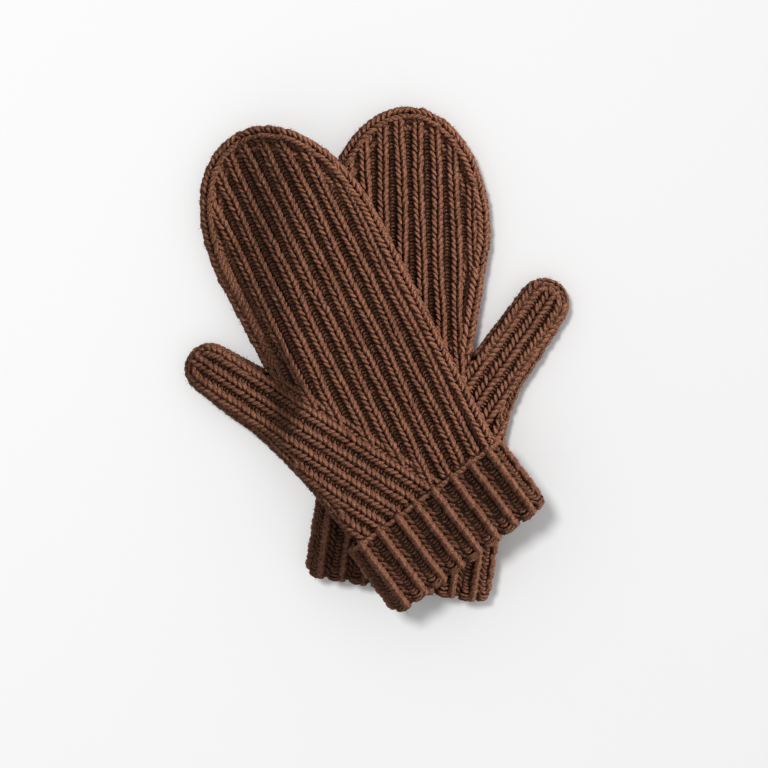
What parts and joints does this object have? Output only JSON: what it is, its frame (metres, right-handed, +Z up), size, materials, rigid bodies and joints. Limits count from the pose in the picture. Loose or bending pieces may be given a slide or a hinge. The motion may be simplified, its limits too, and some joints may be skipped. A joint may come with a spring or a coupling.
{
  "type": "ribbed knit mittens",
  "caption": "Pair of chunky rib-knit wool mittens with turned-up ribbed cuffs and separate thumbs, lying flat and crossed.",
  "frame": {"origin": "bottom centre of the box around the pair, on the surface it lies on", "axes": "+Z up; +Y towards the fingertips of the lower mitten; +X towards its thumb"},
  "size_m": [0.217, 0.2846, 0.0436],
  "materials": {
    "ribbed_wool": "matte plied wool, one by one rib",
    "edge_band_wool": "matte plied wool, stocking stitch band",
    "cuff_wool": "matte plied wool, wide rib"
  },
  "bodies": {
    "lower_mitten": {"lower_mitten_front_panel": "ribbed_wool", "lower_mitten_back_panel": "ribbed_wool", "lower_mitten_edge_band": "edge_band_wool", "lower_mitten_thumb_gusset": "ribbed_wool", "lower_mitten_wrist_ribbing": "cuff_wool"},
    "lower_thumb": {"lower_mitten_thumb": "ribbed_wool"},
    "lower_cuff": {"lower_mitten_turned_up_cuff": "cuff_wool"},
    "upper_mitten": {"upper_mitten_front_panel": "ribbed_wool", "upper_mitten_back_panel": "ribbed_wool", "upper_mitten_edge_band": "edge_band_wool", "upper_mitten_thumb_gusset": "ribbed_wool", "upper_mitten_wrist_ribbing": "cuff_wool"},
    "upper_thumb": {"upper_mitten_thumb": "ribbed_wool"},
    "upper_cuff": {"upper_mitten_turned_up_cuff": "cuff_wool"}
  },
  "joints": [
    {"name": "lower_thumb_swing", "type": "hinge", "parent": "lower_mitten", "child": "lower_thumb", "pos_m": [0.06791, -0.00587, 0.0071], "axis": [0, 0, 1], "range_deg": [-24, 12]},
    {"name": "lower_cuff_unroll", "type": "slide", "parent": "lower_mitten", "child": "lower_cuff", "axis": [-0.1478, -0.989, 0], "range_m": [0, 0.038]},
    {"name": "upper_mitten_lift", "type": "slide", "parent": "lower_mitten", "child": "upper_mitten", "axis": [0, 0, 1], "range_m": [0, 0.06]},
    {"name": "upper_thumb_swing", "type": "hinge", "parent": "upper_mitten", "child": "upper_thumb", "pos_m": [-0.07278, -0.01901, 0.0099], "axis": [0, 0, 1], "range_deg": [-12, 24]},
    {"name": "upper_cuff_unroll", "type": "slide", "parent": "upper_mitten", "child": "upper_cuff", "axis": [0.599, -0.8007, 0], "range_m": [0, 0.038]}
  ]
}
